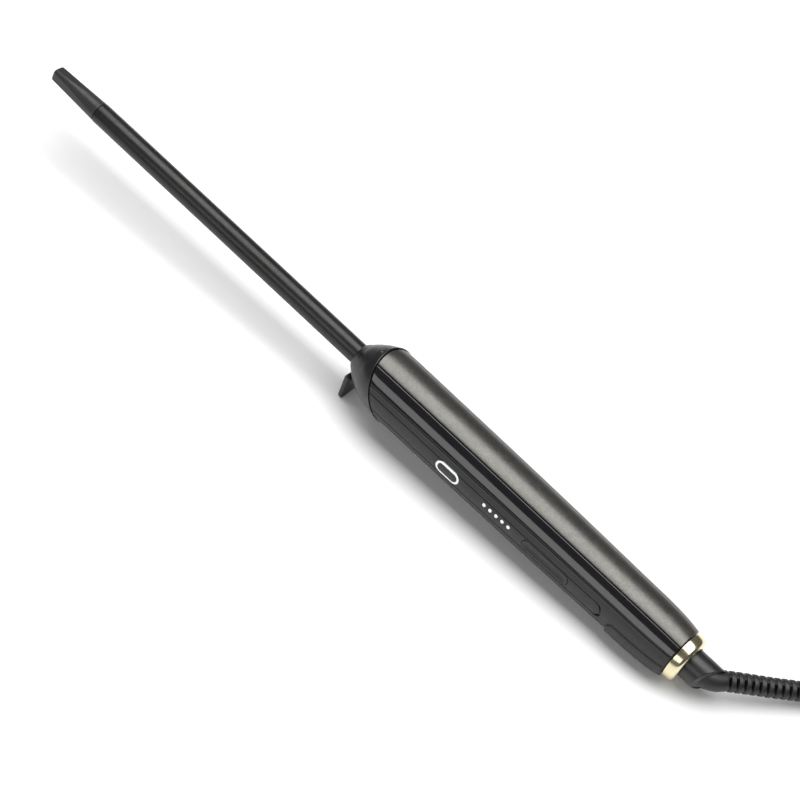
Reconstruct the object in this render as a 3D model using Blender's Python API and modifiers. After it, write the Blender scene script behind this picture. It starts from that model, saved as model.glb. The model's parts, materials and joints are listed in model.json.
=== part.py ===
"""Slim-barrel curling iron lying on its stand, in metres, +Z up.

The wand is modelled along its own X axis, tip towards -X and tail towards +X, with the nose opening at 0.
An angle round the wand is counted from its top towards -Y, the side the controls face.
"""
import math

import bmesh
import bpy
from mathutils import Matrix, Vector

MM = 0.001
GAP = 0.3 * MM

# How the wand lies: the tail is low and the stand holds the nose up.
TILT_DEG = 3.16
ROOT = Vector((-29.48, -13.21, 20.61)) * MM

BARREL_R = 4.5 * MM
BARREL_WALL = 0.6 * MM
BARREL_START = -146.5 * MM
BARREL_END = 30.0 * MM
TIP_END = -172.0 * MM
TIP_R = 3.4 * MM
TIP_BASE_R = 4.35 * MM

# Nose: outer radius, where that radius is on top, and how far the bottom lags behind the top (half of it).
NOSE_RINGS = (
    (5.05, 0.0, 0.0, 4.8),
    (6.0, 1.1, 0.05, 4.81),
    (6.9, 2.35, 0.1, 4.83),
    (8.6, 4.3, 0.36, 6.3),
    (10.3, 6.4, 1.16, 8.4),
    (11.7, 8.25, 2.15, 9.9),
    (12.75, 9.95, 3.9, 11.0),
    (13.25, 10.7, 6.2, 11.5),
    (13.5, 11.0, 8.0, 11.7),
)
SEAM_TOP = 11.0 * MM
SEAM_LAG = 8.0 * MM

# Handle: outer radius along the wand.
HANDLE_PROFILE = (
    (8.0, 12.6),
    (11.0, 13.2),
    (15.0, 13.5),
    (22.0, 13.62),
    (40.0, 13.5),
    (63.0, 13.42),
    (86.0, 13.23),
    (109.0, 12.95),
    (128.0, 12.62),
    (142.0, 12.4),
    (150.0, 12.3),
    (157.0, 11.98),
    (162.0, 11.5),
    (166.7, 10.75),
)
HANDLE_END = 166.7 * MM
CONTROL_DEG = 87.0
SEAM_HALF_DEG = 61.0
GROOVE_HALF_DEG = 28.0
PANEL_HALF_DEG = 15.4
BACK_SHELL_WALL = 1.8 * MM
FRONT_SHELL_DEPTH = 3.0 * MM
SKIN_DEPTH = 1.2 * MM
SKIN_SEAT = 1.5 * MM
PANEL_END = 137.4 * MM
WINDOW = (48.0 * MM, 122.0 * MM)
HEEL_START = 139.0 * MM
HEEL_LIFT = 0.35 * MM

BUTTON_X = 57.3 * MM
BUTTON_LENGTH = 10.1 * MM
BUTTON_WIDTH = 3.8 * MM
LIGHT_BAND = 0.65 * MM
LED_X = tuple(x * MM for x in (76.4, 79.5, 82.6, 85.7, 88.8))
LED_R = 0.75 * MM
ROCKER_X = 107.7 * MM
ROCKER_LENGTH = 22.0 * MM
ROCKER_WIDTH = 3.9 * MM
ROCKER_PIVOT = 11.0 * MM
ROCKER_PIN_R = 0.55 * MM
BOARD_FACE = 6.5 * MM
BOARD_THICK = 1.6 * MM

STAND_X = 3.4 * MM
STAND_PIVOT_Z = -8.6 * MM
STAND_FOOT_Z = -20.8 * MM
STAND_HALF_WIDTH = 6.5 * MM
STAND_THICK = 2.0 * MM
STAND_KNUCKLE_HALF = 2.6 * MM
STAND_PIN_R = 0.55 * MM

RING_START = 167.0 * MM
RING_END = 173.2 * MM
COLLAR_R = 6.5 * MM
COLLAR_END = 182.5 * MM

# The cord leaves the collar sideways and comes down to the surface; offsets are from the collar's end.
GUARD_ROUTE = (
    (-6.5, 0.0, 0.34),
    (-1.0, 0.0, 0.05),
    (2.2, 0.7, -0.15),
    (6.0, 3.4, -0.7),
    (13.5, 10.0, -1.8),
    (21.0, 16.6, -3.0),
    (34.0, 27.6, -4.9),
    (46.5, 37.4, -6.3),
)
GUARD_R = 4.3 * MM
GUARD_END_R = 3.9 * MM
RIB_PITCH = 2.8 * MM
RIB_COUNT = 18
RIB_START = 15.9 * MM
CORD_R = 3.2 * MM
CORD_ROUTE = (
    (199.4, 24.26, 4.2),
    (208.6, 31.76, 3.45),
    (218.1, 40.36, 3.25),
    (228.6, 50.36, 3.25),
    (239.2, 59.26, 3.25),
)
COIL_CENTRE = (266.1, 20.26)
COIL_MIDDLE_R = 34.0 * MM
COIL_WIDTH = 19.2 * MM
COIL_HEIGHT = 17.6 * MM
COIL_LIFT = 1.6 * MM
TIE_DEG = -20.0
CORD_END_ROUTE = (
    (281.6, -6.59, 22.8),
    (272.0, -13.22, 23.4),
    (260.9, -16.88, 24.6),
    (250.7, -18.2, 25.8),
    (242.8, -15.4, 26.3),
    (238.8, -10.6, 26.4),
    (238.1, -5.8, 26.4),
)
PLUG_AT = (238.1, -4.74, 26.4)

WAND = "wand_frame"
SWIVEL = "swivel_axis"
PLUG = "plug_frame"


def clear_scene():
    for found in list(bpy.data.objects):
        bpy.data.objects.remove(found, do_unlink=True)


def material(name, colour, roughness, metallic=0.0):
    made = bpy.data.materials.new(name)
    made.use_nodes = True
    shader = made.node_tree.nodes["Principled BSDF"]
    shader.inputs["Base Color"].default_value = (*colour, 1.0)
    shader.inputs["Roughness"].default_value = roughness
    shader.inputs["Metallic"].default_value = metallic
    made.diffuse_color = (*colour, 1.0)
    return made


def register(name, data, paint, parent):
    made = bpy.data.objects.new(name, data)
    PARTS.objects.link(made)
    if paint:
        data.materials.append(paint)
    if parent:
        made.parent = bpy.data.objects[parent]
    return made


def frame_at(name, location, rotation, parent=None):
    """An empty that pieces are placed by."""
    made = bpy.data.objects.new(name, None)
    PARTS.objects.link(made)
    made.location = location
    made.rotation_euler = rotation
    if parent:
        made.parent = bpy.data.objects[parent]


def as_cutter(made):
    PARTS.objects.unlink(made)
    CUTTERS.objects.link(made)
    made.hide_render = True
    made.display_type = "WIRE"
    return made


def smooth(made, degrees=35.0):
    made.data.shade_smooth()
    made.data.set_sharp_from_angle(angle=math.radians(degrees))


def cut(made, cutter, operation="DIFFERENCE"):
    modifier = made.modifiers.new("cut", "BOOLEAN")
    modifier.operation = operation
    modifier.object = cutter
    modifier.solver = "EXACT"


def finish_mesh(mesh, name):
    data = bpy.data.meshes.new(name)
    bmesh.ops.recalc_face_normals(mesh, faces=mesh.faces)
    mesh.to_mesh(data)
    mesh.free()
    return data


def turned(name, profile, paint, parent=WAND, steps=32, ring=False, lay_down=True):
    """A turned piece on the wand's axis: profile points are (radius, place along the axis), outer side tail first."""
    data = bpy.data.meshes.new(name)
    count = len(profile)
    edges = [(i, i + 1) for i in range(count - 1)]
    if ring:
        edges.append((count - 1, 0))
    data.from_pydata([(r, 0.0, z) for r, z in profile], edges, [])
    made = register(name, data, paint, parent)
    screw = made.modifiers.new("turn", "SCREW")
    screw.axis = "Z"
    screw.angle = math.tau
    screw.steps = steps
    screw.render_steps = steps
    screw.use_merge_vertices = True
    screw.merge_threshold = 0.00001
    screw.use_smooth_shade = True
    if lay_down:
        made.rotation_euler = (0.0, math.pi / 2, 0.0)
    return made


def box(name, low, high, paint, parent=WAND):
    """A block between two corners."""
    mesh = bmesh.new()
    bmesh.ops.create_cube(mesh, size=1.0)
    size = Vector(high) - Vector(low)
    centre = (Vector(high) + Vector(low)) / 2
    bmesh.ops.scale(mesh, vec=size, verts=mesh.verts)
    made = register(name, finish_mesh(mesh, name), paint, parent)
    made.location = centre
    return made


def rod(name, radius, length, paint, parent=WAND, segments=20, end_radius=None):
    """A round bar about its own Z axis, centred on its origin."""
    mesh = bmesh.new()
    top = radius if end_radius is None else end_radius
    bmesh.ops.create_cone(
        mesh, cap_ends=True, segments=segments, radius1=radius, radius2=top, depth=length
    )
    return register(name, finish_mesh(mesh, name), paint, parent)


def stadium(length, width, segments=8):
    """Outline of a slot with round ends, centred, longer along X."""
    r = width / 2
    half = length / 2 - r
    points = []
    for side, start in ((1, -90), (-1, 90)):
        for i in range(segments + 1):
            a = math.radians(start + 180 * i / segments)
            points.append((side * half + r * math.cos(a), r * math.sin(a)))
    return points


def prism(name, outline, depth, paint, parent=WAND):
    """A flat outline in XY made depth thick, upwards from its origin."""
    mesh = bmesh.new()
    face = mesh.faces.new([mesh.verts.new((x, y, 0.0)) for x, y in outline])
    grown = bmesh.ops.extrude_face_region(mesh, geom=[face])
    moved = [v for v in grown["geom"] if isinstance(v, bmesh.types.BMVert)]
    bmesh.ops.translate(mesh, vec=(0.0, 0.0, depth), verts=moved)
    return register(name, finish_mesh(mesh, name), paint, parent)


def loft(name, rings, paint, parent=WAND, closed=False):
    """A solid through rings of points; closed joins the last ring to the first instead of capping the ends."""
    mesh = bmesh.new()
    rows = [[mesh.verts.new(p) for p in ring] for ring in rings]
    count = len(rows[0])
    pairs = list(zip(rows, rows[1:]))
    if closed:
        pairs.append((rows[-1], rows[0]))
    for a, b in pairs:
        for j in range(count):
            k = (j + 1) % count
            mesh.faces.new((a[j], a[k], b[k], b[j]))
    if not closed:
        mesh.faces.new(rows[0])
        mesh.faces.new(rows[-1])
    return register(name, finish_mesh(mesh, name), paint, parent)


def tube(name, points, radius, paint, parent=WAND, sides=2):
    """A round wire through the points."""
    data = bpy.data.curves.new(name, "CURVE")
    data.dimensions = "3D"
    data.bevel_depth = radius
    data.bevel_resolution = sides
    data.use_fill_caps = True
    line = data.splines.new("POLY")
    line.points.add(len(points) - 1)
    for slot, point in zip(line.points, points):
        slot.co = (*point, 1.0)
    return register(name, data, paint, parent)


def around(degrees, radius, x):
    """A point on the wand, by its angle from the top towards the controls."""
    a = math.radians(degrees)
    return Vector((x, -radius * math.sin(a), radius * math.cos(a)))


def seam_x(degrees):
    """Where the nose meets the handle at an angle: the bottom lags behind the top."""
    return SEAM_TOP + SEAM_LAG * (1 - math.cos(math.radians(degrees)))


def handle_radius(x):
    for (x0, r0), (x1, r1) in zip(HANDLE_PROFILE, HANDLE_PROFILE[1:]):
        if x <= x1 * MM:
            t = max(0.0, (x / MM - x0) / (x1 - x0))
            return (r0 + (r1 - r0) * t) * MM
    return HANDLE_PROFILE[-1][1] * MM


def skin(name, start, end, angles, top, depth, paint, stations, holes=()):
    """A curved wall on the handle. top and depth give the outer and inner offset at a place and an angle.

    start is None where the wall follows the nose seam; holes are (x0, x1, angle0, angle1) left open.
    """
    mesh = bmesh.new()
    outer, inner = [], []
    for station in stations:
        row_out, row_in = [], []
        for angle in angles:
            first = seam_x(angle) + GAP if start is None else start
            x = max(station, first)
            if station == stations[0]:
                x = first
            x = min(x, end)
            r = handle_radius(x)
            row_out.append(mesh.verts.new(around(angle, r + top(station, angle), x)))
            row_in.append(mesh.verts.new(around(angle, r - depth(station, angle), x)))
        outer.append(row_out)
        inner.append(row_in)
    solid = set()
    for i in range(len(stations) - 1):
        for j in range(len(angles) - 1):
            x = (stations[i] + stations[i + 1]) / 2
            a = (angles[j] + angles[j + 1]) / 2
            if not any(h[0] < x < h[1] and h[2] < a < h[3] for h in holes):
                solid.add((i, j))
    for i, j in solid:
        mesh.faces.new((outer[i][j], outer[i][j + 1], outer[i + 1][j + 1], outer[i + 1][j]))
        mesh.faces.new((inner[i][j], inner[i + 1][j], inner[i + 1][j + 1], inner[i][j + 1]))
        for side, a, b in (
            ((i - 1, j), (i, j), (i, j + 1)),
            ((i + 1, j), (i + 1, j), (i + 1, j + 1)),
            ((i, j - 1), (i, j), (i + 1, j)),
            ((i, j + 1), (i, j + 1), (i + 1, j + 1)),
        ):
            if side not in solid:
                corners = (
                    outer[a[0]][a[1]],
                    outer[b[0]][b[1]],
                    inner[b[0]][b[1]],
                    inner[a[0]][a[1]],
                )
                mesh.faces.new(corners)
    return register(name, finish_mesh(mesh, name), paint, WAND)


def spread(first, last, step):
    """Evenly spaced values from first to last, no further apart than step."""
    count = max(1, math.ceil(abs(last - first) / step - 1e-6))
    return [first + (last - first) * i / count for i in range(count + 1)]


def on_controls(made, x, height):
    """Stand a piece on the control side, its own Z pointing outwards."""
    made.location = around(CONTROL_DEG, height, x)
    made.rotation_euler = (math.radians(CONTROL_DEG), 0.0, 0.0)
    return made


def smooth_route(points, step):
    """Points read off a smooth curve through the given ones, about a step apart."""
    corners = [Vector(p) * MM for p in points]
    padded = [corners[0] * 2 - corners[1]] + corners + [corners[-1] * 2 - corners[-2]]
    fine = []
    for a, b, c, d in zip(padded, padded[1:], padded[2:], padded[3:]):
        for i in range(40):
            t = i / 40
            fine.append(
                0.5 * (
                    2 * b
                    + (c - a) * t
                    + (2 * a - 5 * b + 4 * c - d) * t * t
                    + (3 * b - a - 3 * c + d) * t ** 3
                )
            )
    fine.append(corners[-1])
    lengths = [0.0]
    for a, b in zip(fine, fine[1:]):
        lengths.append(lengths[-1] + (b - a).length)
    result = []
    for wanted in spread(0.0, lengths[-1], step):
        k = min(range(len(fine)), key=lambda i: abs(lengths[i] - wanted))
        result.append(fine[k])
    return result, lengths[-1]


def barrel():
    inner = BARREL_R - BARREL_WALL
    turned(
        "barrel_tube",
        [
            (BARREL_R, BARREL_END),
            (BARREL_R, BARREL_START),
            (inner, BARREL_START),
            (inner, BARREL_END),
        ],
        GRAPHITE,
        ring=True,
    )


def cool_tip():
    inner = BARREL_R - BARREL_WALL - GAP
    made = turned(
        "cool_tip",
        [
            (0.0, BARREL_START + 8 * MM),
            (inner, BARREL_START + 8 * MM),
            (inner, BARREL_START - GAP),
            (TIP_BASE_R - 0.25 * MM, BARREL_START - GAP),
            (TIP_BASE_R, BARREL_START - GAP - 0.4 * MM),
            (TIP_R, TIP_END + 1.0 * MM),
            (TIP_R - 0.35 * MM, TIP_END + 0.3 * MM),
            (TIP_R - 1.1 * MM, TIP_END + 0.05 * MM),
            (0.0, TIP_END),
        ],
        TIP_PLASTIC,
        steps=40,
    )
    for number, (angle, reach) in enumerate(((-11, 16), (79, 22), (169, 16), (259, 22))):
        depth = 0.62 * MM
        slope = math.atan2(depth + (TIP_BASE_R - TIP_R) * reach / 25.5, reach * MM)
        block = box(
            f"tip_facet_cutter_{number}",
            (-30 * MM, -5 * MM, 0.0),
            (30 * MM, 5 * MM, 6 * MM),
            None,
        )
        block.data.transform(Matrix.Translation((0.0, 0.0, 3 * MM)))
        block.location = around(angle, TIP_R - depth, TIP_END)
        block.rotation_euler = (Matrix.Rotation(math.radians(angle), 3, "X")
                                @ Matrix.Rotation(-slope, 3, "Y")).to_euler()
        cut(made, as_cutter(block))


def heater():
    core = rod("heater_rod", 3.2 * MM, 126 * MM, CERAMIC)
    core.location = (-73 * MM, 0.0, 0.0)
    core.rotation_euler = (0.0, math.pi / 2, 0.0)
    bead = rod("temperature_sensor", 0.9 * MM, 2.0 * MM, GLASS_BEAD, segments=12)
    bead.location = (-137.3 * MM, 0.0, 0.0)
    bead.rotation_euler = (0.0, math.pi / 2, 0.0)
    for name, side in (("heater_lead_1", 1), ("heater_lead_2", -1)):
        route = [(-9.7, 0.0), (4, 0.0), (24, 0.0), (34, -0.6), (42, -2.4), (50, -3.7), (56, -3.7)]
        tube(name, [Vector((x, y, side * 1.7)) * MM for x, y in route], 0.75 * MM, LEAD_SLEEVE, sides=1)


def barrel_holder():
    bore = BARREL_R + GAP
    made = turned(
        "barrel_holder",
        [
            (10.3 * MM, 22.5 * MM),
            (10.3 * MM, 18.5 * MM),
            (6.8 * MM, 18.5 * MM),
            (6.8 * MM, 7.0 * MM),
            (bore, 7.0 * MM),
            (bore, 22.5 * MM),
        ],
        INSULATOR,
        ring=True,
    )
    drill = rod("holder_screw_cutter", 1.1 * MM, 4.0 * MM, None, segments=12)
    drill.location = (9.5 * MM, 0.0, 7.6 * MM)
    cut(made, as_cutter(drill))


def nose_ring(radius, top, lag, count=36):
    points = []
    for i in range(count):
        angle = 360 * i / count
        x = (top + lag * (1 - math.cos(math.radians(angle)))) * MM
        points.append(around(angle, radius * MM, x))
    return points


def nose():
    outside = [nose_ring(r, x, g) for r, x, g, _ in NOSE_RINGS]
    inside = [nose_ring(q, x, g) for _, x, g, q in reversed(NOSE_RINGS)]
    made = loft("nose_cone", outside + inside, NOSE_PLASTIC, closed=True)
    stand_lug(made)
    head = rod("nose_screw_seat_cutter", 1.65 * MM, 4.0 * MM, None)
    head.location = (9.5 * MM, 0.0, 13.55 * MM)
    cut(made, as_cutter(head))
    shank = rod("nose_screw_hole_cutter", 1.1 * MM, 6.0 * MM, None, segments=12)
    shank.location = (9.5 * MM, 0.0, 10.6 * MM)
    cut(made, as_cutter(shank))
    screw = turned(
        "nose_screw",
        [
            (0.0, 12.3 * MM),
            (0.55 * MM, 12.3 * MM),
            (1.35 * MM, 12.2 * MM),
            (1.35 * MM, 11.85 * MM),
            (0.8 * MM, 11.85 * MM),
            (0.8 * MM, 6.0 * MM),
            (0.0, 6.0 * MM),
        ],
        STEEL,
        steps=16,
        lay_down=False,
    )
    screw.location = (9.5 * MM, 0.0, 0.0)


def stand_lug(nose_object):
    """A fin under the nose that the stand hangs from."""
    half = STAND_THICK / 2
    low = STAND_PIVOT_Z
    outline = [(-half, -1.0 * MM), (half, -1.0 * MM)]
    for i in range(9):
        a = math.radians(-180 * i / 8)
        outline.append((half * math.cos(a), low + half * math.sin(a)))
    fin = prism("stand_lug_cutter", outline, 2 * STAND_HALF_WIDTH, None)
    fin.rotation_euler = (math.pi / 2, 0.0, 0.0)
    fin.location = (STAND_X, STAND_HALF_WIDTH, 0.0)
    cut(nose_object, as_cutter(fin), "UNION")
    slot_half = STAND_KNUCKLE_HALF + GAP
    slot = box(
        "knuckle_slot_cutter",
        (STAND_X - 3 * MM, -slot_half, low - 3 * MM),
        (STAND_X + 3 * MM, slot_half, low + 1.35 * MM),
        None,
    )
    cut(nose_object, as_cutter(slot))
    for side in (-1, 1):
        hole = rod(f"stand_pin_hole_cutter_{side + 1}", STAND_PIN_R + 0.05 * MM, 3 * MM, None, segments=16)
        hole.rotation_euler = (math.pi / 2, 0.0, 0.0)
        hole.location = (STAND_X, side * 3.5 * MM, low)
        cut(nose_object, as_cutter(hole))
    bore = rod("nose_bore_cutter", BARREL_R + GAP, 16 * MM, None, segments=32)
    bore.rotation_euler = (0.0, math.pi / 2, 0.0)
    cut(nose_object, as_cutter(bore))


def stand():
    """The folding stand: its origin is on the hinge."""
    half = STAND_THICK / 2
    low = STAND_FOOT_Z - STAND_PIVOT_Z
    top = -1.35 * MM
    w = STAND_HALF_WIDTH
    k = STAND_KNUCKLE_HALF
    outline = [
        (-w, top),
        (-w, low + 1.6 * MM),
        (-w + 0.5 * MM, low + 0.5 * MM),
        (-w + 1.6 * MM, low),
        (w - 1.6 * MM, low),
        (w - 0.5 * MM, low + 0.5 * MM),
        (w, low + 1.6 * MM),
        (w, top),
        (k, top),
        (k, 0.0),
        (-k, 0.0),
        (-k, top),
    ]
    made = prism("stand_plate", outline, STAND_THICK, STAND_PLASTIC)
    made.data.transform(Matrix.Translation((-half, 0.0, 0.0)) @ Matrix(
        ((0, 0, 1, 0), (1, 0, 0, 0), (0, 1, 0, 0), (0, 0, 0, 1))))
    made.location = (STAND_X, 0.0, STAND_PIVOT_Z)
    knuckle = rod("stand_knuckle_cutter", half, 2 * k, None, segments=24)
    knuckle.rotation_euler = (math.pi / 2, 0.0, 0.0)
    knuckle.location = made.location
    cut(made, as_cutter(knuckle), "UNION")
    floor = box("foot_level_cutter", (-60 * MM, -40 * MM, -10 * MM), (20 * MM, 20 * MM, 0.0), None, None)
    cut(made, as_cutter(floor))
    hole = rod("stand_bore_cutter", STAND_PIN_R + 0.05 * MM, 8 * MM, None, segments=16)
    hole.rotation_euler = (math.pi / 2, 0.0, 0.0)
    hole.location = made.location
    cut(made, as_cutter(hole))
    pin = rod("stand_hinge_pin", STAND_PIN_R, 9.4 * MM, STEEL, segments=16)
    pin.rotation_euler = (math.pi / 2, 0.0, 0.0)
    pin.location = made.location


def flat(value):
    return lambda x, angle: value


def handle_stations(start, end, extra=()):
    places = [x * MM for x, _ in HANDLE_PROFILE] + list(extra) + [start, end]
    places = sorted(set(places))
    return [x for x in places if start <= x <= end]


def back_shell():
    first = CONTROL_DEG - SEAM_HALF_DEG - 1.3
    last = CONTROL_DEG + SEAM_HALF_DEG - 360 + 1.3
    angles = spread(last, first, 9.0)
    made = skin(
        "back_shell", None, HANDLE_END, angles, flat(0.0), flat(BACK_SHELL_WALL), PEWTER,
        handle_stations(8.0 * MM, HANDLE_END, extra=[28 * MM]),
    )
    smooth(made)


def front_shell():
    """The gloss shell: full height at its borders and lower under the matte skins."""
    low, high = CONTROL_DEG - GROOVE_HALF_DEG - 0.6, CONTROL_DEG + GROOVE_HALF_DEG + 0.6
    heel = CONTROL_DEG + SEAM_HALF_DEG - 4.0
    first, last = CONTROL_DEG - SEAM_HALF_DEG, CONTROL_DEG + SEAM_HALF_DEG
    edge = 0.12
    win = 14.0
    angles = spread(first, low, 9.0) + [low + edge]
    angles += [CONTROL_DEG - win, CONTROL_DEG, CONTROL_DEG + win]
    angles += [high - edge, high] + spread(high + 8, heel, 9.0) + [heel + edge, last]

    def top(x, angle):
        if low < angle < high:
            return -SKIN_SEAT
        if x > HEEL_START - 0.4 * MM and angle > CONTROL_DEG and angle <= heel:
            return -SKIN_SEAT
        return 0.0

    stations = handle_stations(
        8.0 * MM, HANDLE_END,
        extra=[28 * MM, WINDOW[0], WINDOW[1], HEEL_START - 0.42 * MM, HEEL_START - 0.38 * MM],
    )
    hole = (WINDOW[0], WINDOW[1], CONTROL_DEG - win, CONTROL_DEG + win)
    made = skin(
        "front_shell", None, HANDLE_END, angles, top, flat(FRONT_SHELL_DEPTH), GLOSS_BLACK,
        stations, holes=[hole],
    )
    smooth(made)


def grip_frame():
    """The matte skin round the control panel, open towards the nose."""
    low, high = CONTROL_DEG - GROOVE_HALF_DEG + 0.6, CONTROL_DEG + GROOVE_HALF_DEG - 0.6
    p_low, p_high = CONTROL_DEG - PANEL_HALF_DEG, CONTROL_DEG + PANEL_HALF_DEG
    split = CONTROL_DEG + 2.5
    angles = [low, low + 6, p_low, CONTROL_DEG - 6, split, p_high, high - 6, high]
    holes = [
        (0.0, PANEL_END, p_low, p_high),
        (HEEL_START - GAP, 1.0, split, 180.0),
    ]
    stations = handle_stations(8.0 * MM, HANDLE_END, extra=[28 * MM, PANEL_END, HEEL_START - GAP])
    made = skin(
        "grip_frame", None, HANDLE_END, angles, flat(0.0), flat(SKIN_DEPTH), MATTE_BLACK,
        stations, holes=holes,
    )
    smooth(made)


def heel_pad():
    split = CONTROL_DEG + 2.5 + 1.4
    heel = CONTROL_DEG + SEAM_HALF_DEG - 4.0 - 1.4
    made = skin(
        "heel_pad", HEEL_START, HANDLE_END, spread(split, heel, 9.0), flat(HEEL_LIFT),
        flat(SKIN_DEPTH), RUBBER, handle_stations(HEEL_START, HANDLE_END),
    )
    smooth(made)


def control_panel():
    half = PANEL_HALF_DEG - 1.3
    stations = handle_stations(8.0 * MM, PANEL_END - GAP, extra=[28 * MM])
    made = skin(
        "control_panel", None, PANEL_END - GAP,
        spread(CONTROL_DEG - half, CONTROL_DEG + half, 5.0),
        flat(0.0), flat(SKIN_DEPTH), PANEL_BLACK, stations,
    )
    smooth(made)
    ring_length = BUTTON_LENGTH + 2 * LIGHT_BAND + 2 * GAP
    ring_width = BUTTON_WIDTH + 2 * LIGHT_BAND + 2 * GAP
    openings = [
        ("button_hole_cutter", stadium(ring_length + 2 * GAP, ring_width + 2 * GAP), BUTTON_X),
        ("rocker_hole_cutter", stadium(ROCKER_LENGTH + 2 * GAP, ROCKER_WIDTH + 2 * GAP), ROCKER_X),
    ]
    for name, outline, x in openings:
        cut(made, as_cutter(on_controls(prism(name, outline, 6 * MM, None), x, 10 * MM)))
    for number, x in enumerate(LED_X, start=1):
        hole = rod(f"led_hole_cutter_{number}", LED_R + GAP, 6 * MM, None, segments=16)
        cut(made, as_cutter(on_controls(hole, x, 13 * MM)))


def controls():
    ring_length = BUTTON_LENGTH + 2 * LIGHT_BAND + 2 * GAP
    ring_width = BUTTON_WIDTH + 2 * LIGHT_BAND + 2 * GAP
    base = 12.35 * MM
    ring = prism("button_light_ring", stadium(ring_length, ring_width), 1.2 * MM, LIGHT_WHITE)
    on_controls(ring, BUTTON_X, base)
    inner = stadium(BUTTON_LENGTH + 2 * GAP, BUTTON_WIDTH + 2 * GAP)
    cut(ring, as_cutter(on_controls(prism("ring_cutter", inner, 6 * MM, None), BUTTON_X, 9 * MM)))
    button = prism("power_button", stadium(BUTTON_LENGTH, BUTTON_WIDTH), 2.6 * MM, MATTE_BLACK)
    on_controls(button, BUTTON_X, 11.1 * MM)
    stem = on_controls(rod("button_stem_cutter", 1.2 * MM, 2.0 * MM, None, segments=16), BUTTON_X, 11.3 * MM)
    cut(button, as_cutter(stem), "UNION")
    for number, x in enumerate(LED_X, start=1):
        pipe = rod(f"led_window_{number}", LED_R, 3.6 * MM, LIGHT_WHITE, segments=16)
        on_controls(pipe, x, 11.65 * MM)


def rocker():
    """The temperature key: its origin is on its pivot."""
    made = prism("temperature_rocker", stadium(ROCKER_LENGTH, ROCKER_WIDTH), 1.35 * MM, MATTE_BLACK)
    made.data.transform(Matrix.Translation((0.0, 0.0, 0.75 * MM)))
    on_controls(made, ROCKER_X, ROCKER_PIVOT)
    hub = box("rocker_hub_cutter", (-1.3 * MM, -1.9 * MM, -1.1 * MM), (1.3 * MM, 1.9 * MM, 1.0 * MM), None)
    hub.data.transform(Matrix.Translation(hub.location))
    cut(made, as_cutter(on_controls(hub, ROCKER_X, ROCKER_PIVOT)), "UNION")
    hole = rod("rocker_bore_cutter", ROCKER_PIN_R + 0.05 * MM, 8 * MM, None, segments=14)
    hole.data.transform(Matrix.Rotation(math.pi / 2, 4, "X"))
    cut(made, as_cutter(on_controls(hole, ROCKER_X, ROCKER_PIVOT)))
    pin = rod("rocker_pivot_pin", ROCKER_PIN_R, 5.2 * MM, STEEL, segments=14)
    pin.data.transform(Matrix.Rotation(math.pi / 2, 4, "X"))
    on_controls(pin, ROCKER_X, ROCKER_PIVOT)


def electronics():
    middle = (45.0 + 126.0) / 2 * MM
    half = (126.0 - 45.0) / 2 * MM
    board = box(
        "circuit_board", (-half, -7.0 * MM, 0.0), (half, 7.0 * MM, BOARD_THICK), BOARD_GREEN
    )
    board.data.transform(Matrix.Translation((0.0, 0.0, BOARD_THICK / 2)))
    on_controls(board, middle, BOARD_FACE - BOARD_THICK)
    switches = (
        ("power_switch", BUTTON_X, 2.2 * MM),
        ("minus_switch", ROCKER_X - 8.0 * MM, 3.2 * MM),
        ("plus_switch", ROCKER_X + 8.0 * MM, 3.2 * MM),
    )
    for name, x, height in switches:
        body = box(name, (-2.2 * MM, -2.2 * MM, 0.0), (2.2 * MM, 2.2 * MM, height), SWITCH_GREY)
        body.data.transform(Matrix.Translation((0.0, 0.0, height / 2)))
        on_controls(body, x, BOARD_FACE + GAP)
        stub = rod(f"{name}_plunger_cutter", 1.1 * MM, 1.6 * MM, None, segments=14)
        plunger = on_controls(stub, x, BOARD_FACE + GAP + height)
        cut(body, as_cutter(plunger), "UNION")


def ring_and_swivel():
    bore = COLLAR_R + 0.4 * MM
    turned(
        "rear_ring",
        [
            (8.4 * MM, RING_END),
            (9.4 * MM, RING_END - 0.35 * MM),
            (10.0 * MM, RING_END - 1.1 * MM),
            (10.2 * MM, RING_END - 2.0 * MM),
            (10.55 * MM, RING_START + 0.15 * MM),
            (10.4 * MM, RING_START),
            (7.4 * MM, RING_START),
            (7.4 * MM, RING_START - 3.6 * MM),
            (bore, RING_START - 3.6 * MM),
            (bore, RING_END),
        ],
        GOLD,
        ring=True,
        steps=40,
    )
    turned(
        "swivel_bush",
        [
            (7.8 * MM, 163.0 * MM),
            (7.8 * MM, 153.0 * MM),
            (8.9 * MM, 153.0 * MM),
            (8.9 * MM, 150.0 * MM),
            (4.3 * MM, 150.0 * MM),
            (4.3 * MM, 161.6 * MM),
            (6.9 * MM, 161.6 * MM),
            (6.9 * MM, 163.0 * MM),
        ],
        INSULATOR,
        ring=True,
    )


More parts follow.
